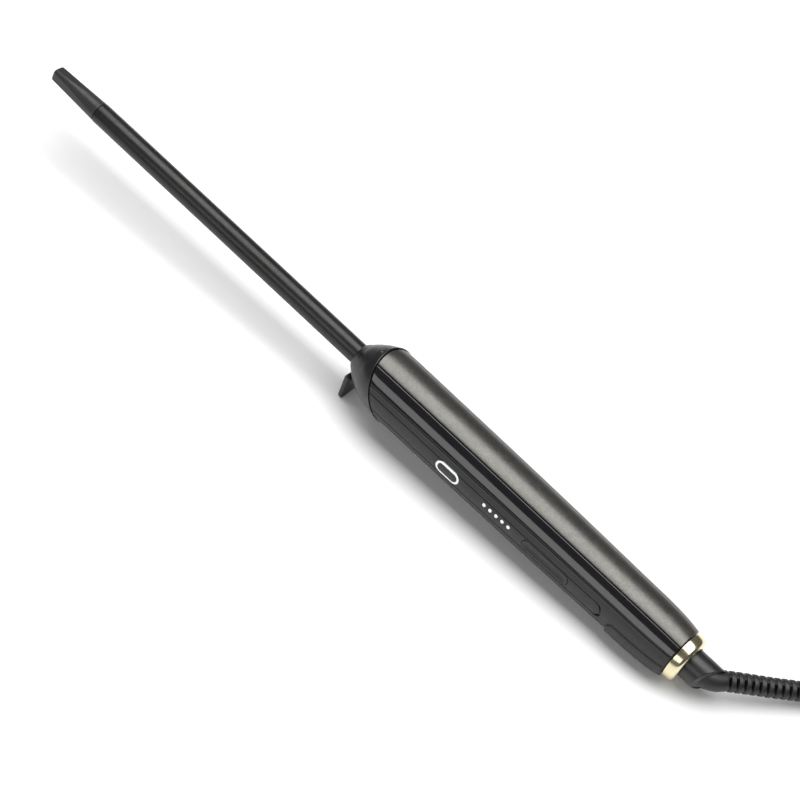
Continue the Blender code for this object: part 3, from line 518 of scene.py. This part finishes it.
def nose_lip(radius, back, steps):
    """A ring of the lip along the seam, a little prouder underneath."""
    row = []
    for i in range(steps):
        a = 360 * i / steps
        under = max(0.0, -math.cos(math.radians(a + 20))) * 0.3
        row.append(around(a, radius + under, seam_x(a) - back))
    return row


def nose_cone():
    steps = 120
    numbered = [(k, *row) for k, row in enumerate(NOSE_PROFILE)]
    fine = []
    for t in spread(0.0, len(NOSE_PROFILE) - 1.0, 0.25):
        fine.append(tuple(curve_value(numbered, t, c) for c in (1, 2, 3)))
    outside = [nose_ring(r, x, lag, steps) for r, x, lag in fine[:-1]]
    lip = ((13.62, 0.5), (13.68, 0.3), (13.62, 0.14), (13.4, 0.05), (12.2, 0.05))
    rim = [nose_lip(radius, back, steps) for radius, back in lip]
    inside = [nose_ring(max(NOSE_BORE_R, r - NOSE_WALL), x, lag, steps) for r, x, lag in reversed(fine[:-4])]
    made = lofted("nose_cone_form", outside + rim + inside, "nose_plastic", closed=True, sharp=32.0)
    settle(made, "handle", "nose_cone")


def stand_lugs():
    """Two ears under the nose that the stand's pin goes through."""
    pin_x, pin_z = STAND_PIN
    for side, name in ((-1, "near"), (1, "far")):
        rings = []
        for y, inset in ((2.9, 0.15), (3.1, 0.0), (5.0, 0.0), (5.2, 0.15)):
            outline = [(2.4, -4.5), (5.4, -4.5), (5.0, -7.5)]
            r = STAND_PIN_BOSS_R - inset
            for i in range(9):
                a = math.radians(-20 - 160 * i / 8)
                outline.append((pin_x + r * math.cos(a), pin_z + r * math.sin(a)))
            rings.append([Vector((x, side * y, z)) * MM for x, z in outline])
        settle(lofted(f"stand_lug_{name}", rings, "nose_plastic"), "handle", "nose_cone")


def nose_screw():
    rings = []
    for r, z in ((1.3, 11.7), (1.3, 12.0), (1.15, 12.3), (0.75, 12.5), (0.001, 12.55)):
        angles = [math.tau * i / 32 for i in range(32)]
        rings.append([Vector((SCREW_X + r * math.cos(a), r * math.sin(a), z)) * MM for a in angles])
    settle(lofted("nose_screw_head", rings, "nose_plastic"), "handle", "nose_screw")


def stand_plate():
    """The folding plate, notched at its top for the lugs and the knuckle."""
    rings = []
    for x, inset in ((1.5, 0.35), (1.58, 0.12), (1.75, 0.0), (3.25, 0.0), (3.42, 0.12), (3.5, 0.35)):
        w = 7.3 - inset
        low = STAND_FOOT_Z + inset - (x - STAND_PIN[0]) * STAND_LEAN
        top, notch = -6.9 - inset, -9.95 - inset
        half = []
        for cy, cz, r, start in ((w - 0.7, low + 0.7, 0.7, -90), (w - 0.3, top - 0.3, 0.3, 0)):
            for i in range(6):
                a = math.radians(start + 90 * i / 5)
                half.append((cy + r * math.cos(a), cz + r * math.sin(a)))
        half += [(5.4 + inset, top), (5.4 + inset, notch)]
        outline = half + [(-y, z) for y, z in reversed(half)]
        rings.append([Vector((x, y, z)) * MM for y, z in outline])
    settle(lofted("stand_plate_form", rings, "stand_plastic"), "stand", "stand_plate")


def stand_front_lip():
    """The plate's front skin, carried up in front of the lugs."""
    rings = []
    for y, inset in ((-7.2, 0.15), (-7.0, 0.0), (7.0, 0.0), (7.2, 0.15)):
        front, back = 1.5 + inset, 2.3 - inset
        outline = ((front, -10.4), (back, -10.4), (back, -7.6), (1.9, -7.3), (front, -7.6))
        rings.append([Vector((x, y, z)) * MM for x, z in outline])
    settle(lofted("stand_front_lip", rings, "stand_plastic"), "stand", "stand_plate")


def stand_knuckle():
    """The part of the plate that turns on the pin, between the lugs."""
    pin_x, pin_z = STAND_PIN
    outline = [(2.4, -10.3), (4.4, -10.3)]
    for i in range(9):
        a = math.radians(180 * i / 8)
        outline.append((pin_x + STAND_PIN_BOSS_R * math.cos(a), pin_z + STAND_PIN_BOSS_R * math.sin(a)))
    rings = [[Vector((x, y, z)) * MM for x, z in outline] for y in (-2.6, 2.6)]
    settle(lofted("stand_knuckle", rings, "stand_plastic"), "stand", "stand_plate")


def shell_start(degrees):
    return seam_x(degrees) + SHELL_CLEARANCE


def matte_start(degrees):
    return seam_x(degrees) + MATTE_CLEARANCE


def groove(x):
    """The border between the gloss shell and the matte skin drifts up towards the tail."""
    return curve_value(((0.0, 59.2), (60.0, 58.0), (120.0, 56.8), (168.0, 56.0)), x)


def plain_strip(first, last, step):
    """Columns of a strip of full height, rounded over at both borders."""
    inner = [(a, 0.0) for a in spread(first + NEAR_BORDER, last - NEAR_BORDER, step)]
    return edge(first, 1) + inner + edge(last, -1)[::-1]


def back_shell():
    """The painted strip on top and the gloss far side."""
    painted = plain_strip(FAR_SEAM + HALF_GAP, SEAM - HALF_GAP, 3.0)
    made = skin("back_shell_painted", lambda x: painted, shell_start, HANDLE_END, 1.6, "pewter_paint")
    settle(made, "handle", "back_shell")
    far = plain_strip(LOW_SEAM - 360 + HALF_GAP, FAR_SEAM - HALF_GAP, 4.0)
    made = skin("back_shell_gloss", lambda x: far, shell_start, HANDLE_END, 1.6, "gloss_black")
    settle(made, "handle", "back_shell")


def front_shell():
    """The gloss shell: full height at both sides, and lower where the matte skins lie on it."""
    def columns(x):
        top = groove(x) - HALF_GAP
        upper = [(SEAM + HALF_GAP + 2.5 + k * (top - SEAM - HALF_GAP - 5.0) / 9, 0.0) for k in range(10)]
        under = [(top + 0.05, UNDER_MATTE)]
        under += [(top + 2 + k * (LOW_GROOVE - top - 2) / 12, UNDER_MATTE) for k in range(12)]
        under.append((LOW_GROOVE + HALF_GAP - 0.05, UNDER_MATTE))
        first, last = LOW_GROOVE + HALF_GAP, LOW_SEAM - HALF_GAP
        return edge(SEAM + HALF_GAP, 1) + upper + edge(top, -1)[::-1] + under + plain_strip(first, last, 4.0)

    made = skin("front_shell_gloss", columns, shell_start, HANDLE_END, 2.6, "gloss_black")
    settle(made, "handle", "front_shell")


def panel_half(x, grow):
    """Half width of the panel in degrees, grown by a gap: its tail end is round."""
    grown = math.degrees(grow / PANEL_SKIN_R)
    past = x - (PANEL_END + grow - PANEL_END_ROUND)
    if past <= 0:
        return PANEL_HALF + grown
    rounding = math.sqrt(max(0.0, 1 - min(1.0, past / PANEL_END_ROUND) ** 2))
    return max(0.05, PANEL_HALF * rounding + grown * (past < PANEL_END_ROUND))


def panel_places():
    """Rings close together, for the panel's round end."""
    return spread(PANEL_END - 3.2, PANEL_END + 0.4, 0.12)


def grip_frame():
    """The matte skin, with a basin that the control panel lies in."""
    def columns(x):
        top = groove(x) + HALF_GAP
        w = panel_half(x, PANEL_GAP)
        inside = x < PANEL_END + PANEL_GAP
        floor_height, brink = (-BASIN_DEPTH, -0.16) if inside else (0.0, 0.0)
        a, b = PANEL_MIDDLE - w, PANEL_MIDDLE + w
        above = [(top + 2.5 + k * (a - 1.2 - top - 2.5) / 4, 0.0) for k in range(5)]
        below = [(b + 1.2 + k * (LOW_GROOVE - HALF_GAP - 2.5 - b - 1.2) / 4, 0.0) for k in range(5)]
        basin = [(a, brink), (a + 0.02, floor_height)]
        basin += [(a + k * (b - a) / 8, floor_height) for k in range(1, 8)]
        basin += [(b - 0.02, floor_height), (b, brink)]
        return (edge(top, 1) + above + [(a - 0.5, 0.0)] + basin + [(b + 0.5, 0.0)] + below
                + edge(LOW_GROOVE - HALF_GAP, -1)[::-1])

    made = skin("grip_frame_matte", columns, matte_start, HANDLE_END, 1.2, "matte_black", dense=panel_places())
    settle(made, "handle", "grip_frame")


def panel_openings():
    """Cutters for the button with its light band, the temperature key and the level lights."""
    openings = [(BUTTON_X, BUTTON_DEG, 11.9, 5.8), (KEY_X, KEY_DEG, 23.3, 4.7)]
    openings += [(LIGHT_X + LIGHT_PITCH * k, LIGHT_DEG, 1.8, 1.79) for k in range(LIGHT_COUNT)]
    cutters = []
    for number, (x, degrees, length, width) in enumerate(openings):
        rings = [(length, width, height) for height in (-1.5, 1.0)]
        cutters.append(inlay(f"opening_{number}", x, degrees, rings, "matte_black"))
    return cutters


def control_panel():
    def columns(x):
        w = panel_half(x, 0.0)
        first, last = PANEL_MIDDLE - w, PANEL_MIDDLE + w
        inner = [(PANEL_MIDDLE + w * k / 10, 0.0) for k in range(-8, 9)]
        if w / PANEL_HALF + 0.02 < 0.35:  # too narrow for rounded borders
            return [(first, -PANEL_FILLET)] * 4 + inner + [(last, -PANEL_FILLET)] * 4
        return edge(first, 1, fillet=PANEL_FILLET) + inner + edge(last, -1, fillet=PANEL_FILLET)[::-1]

    places = panel_places()[:-4]
    made = skin("control_panel_form", columns, matte_start, PANEL_END, 0.7, "panel_black", dense=places)
    cut_out(made, panel_openings())
    settle(made, "handle", "control_panel")


def heel_pad():
    def columns(x):
        corner = max(0.0, 1 - (x - HEEL_START) / 2.2)
        top = curve_value(((141.0, 88.0), (168.0, 86.0)), x) + 8.0 * corner ** 2
        inner = [(top + 3 + k * (141.0 - top - 3) / 14, HEEL_LIFT) for k in range(15)]
        low = edge(HEEL_LOW, -1, fillet=0.5, base=HEEL_LIFT)[::-1]
        return edge(top, 1, fillet=0.5, base=HEEL_LIFT) + inner + low

    made = skin("heel_pad_form", columns, lambda a: HEEL_START, HANDLE_END - 0.1, 0.5, "heel_rubber",
                start_fillet=0.6, end_fillet=0.3, dense=spread(142.5, 145.0, 0.25))
    settle(made, "handle", "heel_pad")


def button_light_band():
    (long_out, wide_out), (long_in, wide_in) = (11.6, 5.5), (9.75, 3.65)
    band = (
        (long_in, wide_in, -0.9),
        (long_out, wide_out, -0.9),
        (long_out, wide_out, -0.06),
        (long_out - 0.1, wide_out - 0.1, 0.02),
        (long_out - 0.3, wide_out - 0.3, 0.05),
        (long_in + 0.3, wide_in + 0.3, 0.05),
        (long_in + 0.1, wide_in + 0.1, 0.02),
        (long_in, wide_in, -0.06),
    )
    made = lofted("button_light_band", inlay_rings(BUTTON_X, BUTTON_DEG, band), "light_white", closed=True)
    settle(made, "handle", "button_light_ring")


def power_button():
    key = (
        (9.4, 3.3, -1.4), (9.4, 3.3, 0.12), (9.25, 3.15, 0.27), (8.9, 2.8, 0.34), (6.5, 1.2, 0.3),
        (5.4, 0.3, 0.28),
    )
    made = inlay("power_button_key", BUTTON_X, BUTTON_DEG, key, "matte_black")
    settle(made, "button", "power_button")


def level_lights():
    lens = ((1.5, 1.49, -1.0), (1.5, 1.49, 0.0), (1.36, 1.35, 0.1), (0.9, 0.89, 0.16), (0.2, 0.19, 0.18))
    for k in range(LIGHT_COUNT):
        made = inlay(f"led_lens_{k + 1}", LIGHT_X + LIGHT_PITCH * k, LIGHT_DEG, lens, "light_white")
        settle(made, "handle", f"led_window_{k + 1}")


def temperature_key():
    """A long key, scooped along its middle."""
    key = (
        (22.8, 4.3, -1.3), (22.8, 4.3, 0.0), (22.65, 4.15, 0.14), (22.3, 3.8, 0.2), (21.7, 3.2, 0.12),
        (20.4, 2.3, -0.22), (18.6, 1.3, -0.42), (17.6, 0.4, -0.46),
    )
    made = inlay("temperature_rocker_key", KEY_X, KEY_DEG, key, "matte_black")
    settle(made, "rocker", "temperature_rocker")


def rear_ring():
    profile = (
        (168.72, 7.6), (168.72, 10.25), (168.8, 10.42), (169.0, 10.5), (169.6, 10.47), (171.0, 10.3),
        (171.9, 10.1), (172.6, 9.8), (173.05, 9.45), (173.35, 9.0), (173.5, 8.4), (173.5, 6.95),
        (173.3, 6.85), (168.72, 6.85),
    )
    rings = [circle(x, r, 120) for x, r in profile]
    settle(lofted("rear_ring_form", rings, "gold", closed=True, sharp=55.0), "handle", "rear_ring")


def collar():
    """The turning collar, cut at a slant, with a domed end that the cord guard leaves through."""
    steps = 96
    body = ((167.0, 5.2), (167.0, 6.3), (167.2, COLLAR_R), (176.0, COLLAR_R))
    end_face = (  # radius, how far back from the slanted end
        (COLLAR_R, 0.55), (6.47, 0.3), (6.36, 0.1), (6.15, 0.0), (5.95, 0.05), (5.85, 0.3), (5.7, 0.34),
        (5.3, 0.1), (4.2, -0.25), (2.5, -0.45), (0.01, -0.5),
    )
    rings = [circle(x, r, steps) for x, r in body]
    for r, back in end_face:
        row = []
        for i in range(steps):
            a = 360 * i / steps
            slant = COLLAR_SLANT * r * math.cos(math.radians(a + COLLAR_SLANT_DEG))
            row.append(around(a, r, COLLAR_END - back + slant))
        rings.append(row)
    settle(lofted("swivel_collar_form", rings, "satin_black", sharp=45.0), "swivel", "swivel_collar")


def smooth_route(points, step):
    """Points on a smooth curve through the given ones, about a step apart, and its length."""
    corners = [Vector(p) for p in points]
    padded = [corners[0] * 2 - corners[1]] + corners + [corners[-1] * 2 - corners[-2]]
    fine = []
    for a, b, c, d in zip(padded, padded[1:], padded[2:], padded[3:]):
        for i in range(60):
            t = i / 60
            fine.append(0.5 * (2 * b + (c - a) * t + (2 * a - 5 * b + 4 * c - d) * t * t
                               + (3 * b - a - 3 * c + d) * t ** 3))
    fine.append(corners[-1])
    lengths = [0.0]
    for a, b in zip(fine, fine[1:]):
        lengths.append(lengths[-1] + (b - a).length)
    result, k = [], 0
    for wanted in spread(0.0, lengths[-1], step):
        while k < len(fine) - 2 and lengths[k + 1] < wanted:
            k += 1
        span = max(1e-9, lengths[k + 1] - lengths[k])
        result.append(fine[k].lerp(fine[k + 1], min(1.0, max(0.0, (wanted - lengths[k]) / span))))
    return result, lengths[-1]


# What a ring of the guard is: whole, on a slot's slope, on a slot's floor, or the crest of a rib.
WHOLE, SLOPE, FLOOR, CREST = range(4)


def guard_stations(length):
    """(place along the guard, radius, kind) of each of its rings."""
    neck = [float(place) for place in range(10)] + [GUARD_RIB_START - 0.3]
    stations = [(place, GUARD_NECK_R - 0.08 * place, WHOLE) for place in neck]
    rib = (
        (0.0, WHOLE), (0.12, SLOPE), (0.2, FLOOR), (1.0, FLOOR), (1.08, SLOPE), (1.2, WHOLE), (1.45, CREST),
        (2.75, CREST),
    )
    at = GUARD_RIB_START
    while at + GUARD_PITCH < length - 0.8:
        full = GUARD_R + (GUARD_TAIL_R - GUARD_R) * at / length
        stations += [(at + shift, full, kind) for shift, kind in rib]
        at += GUARD_PITCH
    return stations + [(length, GUARD_END_R, WHOLE)]


def guard_radius(full, kind, degrees):
    """Between two ribs there is a web above and below, and an open slot on each side."""
    if kind == CREST:
        return full
    if kind == WHOLE:
        return full - 0.12
    radius = full - 0.45
    depth = 1.9 if kind == FLOOR else 0.9
    for middle in SLOT_DEGS:
        off = abs((degrees - middle + 180) % 360 - 180)
        radius -= depth * min(1.0, max(0.0, (33.0 - off) / 6.0))
    return radius


def guard():
    """The ribbed cord guard: a neck out of the collar, then ribs."""
    line, length = smooth_route(GUARD_ROUTE, 0.12)
    steps = 64
    rings = []
    for place, full, kind in guard_stations(length):
        k = min(len(line) - 2, max(1, round(place / length * (len(line) - 1))))
        along = (line[k + 1] - line[k - 1]).normalized()
        side = along.cross(Vector((0.0, 0.0, 1.0))).normalized()
        up = side.cross(along).normalized()
        row = []
        for i in range(steps):
            a = 360 * i / steps
            r = guard_radius(full, kind, a)
            c, s = math.cos(math.radians(a)), math.sin(math.radians(a))
            row.append((line[k] + side * (r * c) + up * (r * s)) * MM)
        rings.append(row)
    made = lofted("strain_relief_form", rings, "soft_black", sharp=28.0)
    settle(made, "swivel", "strain_relief", world=True)


def cord_line():
    """The cord's centreline: the run to the coil, eight turns in three layers, and over the coil to the plug."""
    turns = [(radius, height) for height, radii in COIL_LAYERS for radius in radii]
    stops = list(COIL_LEAD_IN)
    angle = COIL_START_DEG
    for number, (radius, height) in enumerate(turns, start=1):
        sweep = LAST_SWEEP if number == len(turns) else TURN_SWEEP
        for k in range(1, POINTS_PER_TURN + 1):
            stops.append((angle - sweep * k / POINTS_PER_TURN, radius, height))
        angle -= 360.0
    cx, cy = COIL_CENTRE
    coil = []
    for degrees, radius, height in stops + list(COIL_LEAD_OUT):
        a = math.radians(degrees)
        coil.append((cx + radius * math.cos(a), cy + radius * math.sin(a), height))
    return [*RUN_ROUTE, *coil, *END_ROUTE]


def cord():
    line, length = smooth_route(cord_line(), 4.0)
    data = bpy.data.curves.new("power_cord", "CURVE")
    data.dimensions = "3D"
    data.bevel_depth = CORD_D / 2 * MM
    data.bevel_resolution = 6
    data.use_fill_caps = True
    spline = data.splines.new("POLY")
    spline.points.add(len(line) - 1)
    for slot, point in zip(spline.points, line):
        slot.co = (*(point * MM), 1.0)
    spline.use_smooth = True
    data.materials.append(FINISH["soft_black"])
    made = bpy.data.objects.new("power_cord", data)
    bpy.context.scene.collection.objects.link(made)
    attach(made, "handle")
    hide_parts("cord_run", "cord_coil", "cord_end")
    plug_pieces = [plug_body(), plug_pin(1, 1), plug_pin(2, -1)]
    plug_pieces + [tie()]


def rounded_loop(half_w, half_h, corner):
    """A rectangle with round corners, centred."""
    loop = []
    for start, sx, sz in ((0, 1, 1), (90, -1, 1), (180, -1, -1), (270, 1, -1)):
        for i in range(9):
            b = math.radians(start + 90 * i / 8)
            u = sx * (half_w - corner) + corner * math.cos(b)
            loop.append((u, sz * (half_h - corner) + corner * math.sin(b)))
    return loop


def tie():
    """A fabric strap round the coil, with rounded corners."""
    a = math.radians(TIE_DEG)
    out = Vector((math.cos(a), math.sin(a), 0.0))
    along = Vector((-math.sin(a), math.cos(a), 0.0))
    centre = Vector((*COIL_CENTRE, TIE_Z)) + out * COIL_MIDDLE_R

    def ring(shift, loop):
        return [(centre + out * u + Vector((0, 0, w)) + along * shift) * MM for u, w in loop]

    across = ((-5.0, 0.2), (-4.8, 0.0), (0.0, -0.15), (4.8, 0.0), (5.0, 0.2))  # place across it, inset
    rings = [ring(shift, rounded_loop(11.5 - inset, 10.2 - inset, 4.4)) for shift, inset in across]
    rings += [ring(shift, rounded_loop(10.5 + inset, 9.3 + inset, 3.6)) for shift, inset in reversed(across)]
    made = lofted("cord_tie_strap", rings, "tie_fabric", closed=True)
    return settle(made, "handle", "cord_tie", world=True)


def plug_body():
    """A flat body that widens towards its pins, with shallow grip ridges."""
    x0, y0, z0 = PLUG_AT
    power = 2 / PLUG_CORNER_POWER
    rings = []
    for at in [0.0, 0.15] + spread(0.5, 34.0, 0.9) + [34.4, 34.8, 35.0]:
        half_w, half_h = curve_value(PLUG_PROFILE, at, 1), curve_value(PLUG_PROFILE, at, 2)
        ridge = 0.22 * max(0.0, math.sin(math.tau * at / 3.2)) if 17 < at < 31 else 0.0
        row = []
        for i in range(64):
            a = math.tau * i / 64
            c, s = math.cos(a), math.sin(a)
            u = math.copysign(abs(c) ** power, c) * (half_w - ridge)
            w = math.copysign(abs(s) ** power, s) * (half_h - ridge)
            row.append(Vector((x0 + u, y0 + at, z0 + w)) * MM)
        rings.append(row)
    made = lofted("plug_body_form", rings, "satin_black", sharp=50.0)
    return settle(made, "handle", "plug_body", world=True)


def plug_pin(number, side):
    x0, y0, z0 = PLUG_AT
    centre = x0 + side * PLUG_PIN_OFFSET
    angles = [math.tau * i / 32 for i in range(32)]
    rings = []
    for at, r in ((35.2, 2.0), (52.5, 2.0), (53.6, 1.8), (54.2, 1.3), (54.4, 0.4)):
        rings.append([Vector((centre + r * math.cos(a), y0 + at, z0 + r * math.sin(a))) * MM for a in angles])
    made = lofted(f"plug_pin_form_{number}", rings, "pin_nickel")
    return settle(made, "handle", f"plug_pin_{number}", world=True)


# ---------------------------------------------------------------- studio

def build_camera():
    """The view: from above and to the controls' side, turned in its plane as a packshot is."""
    azimuth, elevation, roll = math.radians(28.3), math.radians(52.0), math.radians(18.17)
    flat = math.cos(elevation)
    back = Vector((math.sin(azimuth) * flat, -math.cos(azimuth) * flat, math.sin(elevation)))
    right = Vector((math.cos(azimuth), math.sin(azimuth), 0.0))
    up = back.cross(right)
    turned_right = right * math.cos(roll) + up * math.sin(roll)
    turned_up = up * math.cos(roll) - right * math.sin(roll)
    data = bpy.data.cameras.new("view")
    data.lens = 116.8
    data.sensor_width = 36.0
    data.clip_start = 0.05
    camera = bpy.data.objects.new("view", data)
    bpy.context.scene.collection.objects.link(camera)
    aim = ROOT + turned_right * 0.01594 - turned_up * 0.01783
    rotation = Matrix((turned_right, turned_up, back)).transposed().to_4x4()
    camera.matrix_world = Matrix.Translation(aim + back * CAMERA_DISTANCE) @ rotation
    bpy.context.scene.camera = camera


def softbox(name, at, target, size_x, size_y, power):
    """A white rectangle of light, its long side along the wand."""
    light = bpy.data.lights.new(name, "AREA")
    light.shape = "RECTANGLE"
    light.size = size_x
    light.size_y = size_y
    light.energy = power
    lamp = bpy.data.objects.new(name, light)
    bpy.context.scene.collection.objects.link(lamp)
    z = (Vector(at) - Vector(target)).normalized()
    x = (Vector((1.0, 0.0, 0.0)) - z * z.x).normalized()
    y = z.cross(x)
    lamp.matrix_world = Matrix.Translation(Vector(at)) @ Matrix((x, y, z)).transposed().to_4x4()


def build_floor():
    s = FLOOR_HALF
    mesh = bpy.data.meshes.new("floor")
    mesh.from_pydata([(-s, -s, 0), (s, -s, 0), (s, s, 0), (-s, s, 0)], [], [(0, 1, 2, 3)])
    floor = bpy.data.objects.new("floor", mesh)
    bpy.context.scene.collection.objects.link(floor)
    paint = bpy.data.materials.new("floor_white")
    paint.use_nodes = True
    shader = shader_of(paint)
    shader.inputs["Base Color"].default_value = (0.93, 0.93, 0.93, 1)
    shader.inputs["Roughness"].default_value = 0.85
    mesh.materials.append(paint)


def build_lights():
    """A wide softbox above, a strip on the controls' side, and a dim white room."""
    world = bpy.data.worlds.new("studio")
    world.use_nodes = True
    backdrop = world.node_tree.nodes["Background"]
    backdrop.inputs["Color"].default_value = (1, 1, 1, 1)
    backdrop.inputs["Strength"].default_value = 0.13
    bpy.context.scene.world = world
    bpy.context.scene.view_settings.view_transform = "Standard"
    softbox("overhead", (0.03, 0.12, 0.62), (0.03, 0.10, 0.0), 1.3, 0.5, 8.2)
    softbox("side_strip", (0.05, -0.6, 0.38), (0.05, 0.0, 0.01), 1.0, 0.26, 1.5)


refinish_kept_nodes()
barrel()
cool_tip()
nose_cone()
stand_lugs()
nose_screw()
stand_plate()
stand_front_lip()
stand_knuckle()
back_shell()
front_shell()
grip_frame()
control_panel()
heel_pad()
button_light_band()
power_button()
level_lights()
temperature_key()
rear_ring()
collar()
guard()
cord()
build_camera()
build_floor()
build_lights()
